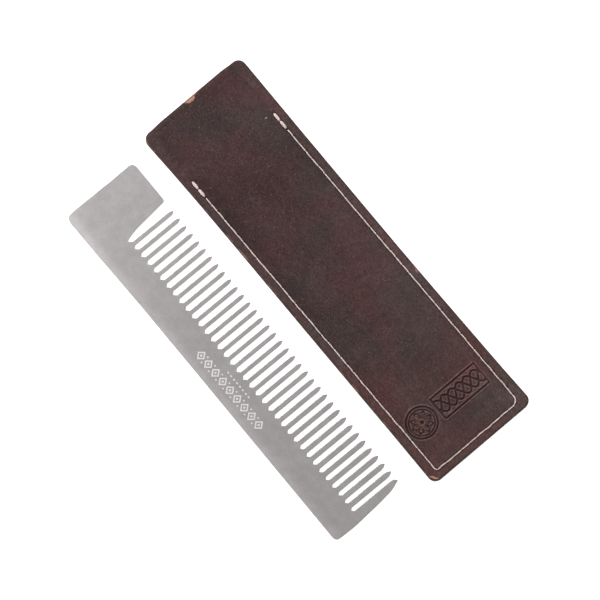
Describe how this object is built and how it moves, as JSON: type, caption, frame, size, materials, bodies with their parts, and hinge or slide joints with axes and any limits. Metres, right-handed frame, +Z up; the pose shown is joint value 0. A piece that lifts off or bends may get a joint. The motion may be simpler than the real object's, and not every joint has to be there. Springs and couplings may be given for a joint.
{
  "type": "beard comb",
  "caption": "Flat steel beard comb with a solid finger block and pointed teeth, lying beside its stitched two-panel leather sheath.",
  "frame": {"origin": "on the surface that both pieces lie on, under the middle of the pair", "axes": "+X from the sheath's mouth to its closed end, +Y from the comb to the sheath so that the comb's teeth point along it, +Z up"},
  "size_m": [0.1368, 0.0716, 0.0058],
  "materials": {
    "steel": "tumbled satin stainless steel with a fine random grain",
    "front_leather": "dark brown waxed leather, matt, mottled, with light scuffs on the edges",
    "back_leather": "dark brown waxed leather, matt",
    "thread": "cream waxed thread"
  },
  "bodies": {
    "sheath": {"sheath_front_panel": "front_leather", "sheath_back_panel": "back_leather", "needle_thread": "thread", "bobbin_thread": "thread"},
    "comb": {"comb": "steel"}
  },
  "joints": [
    {"name": "comb_lift", "type": "slide", "parent": "sheath", "child": "comb", "axis": [0, 0, 1], "range_m": [0, 0.05]}
  ]
}
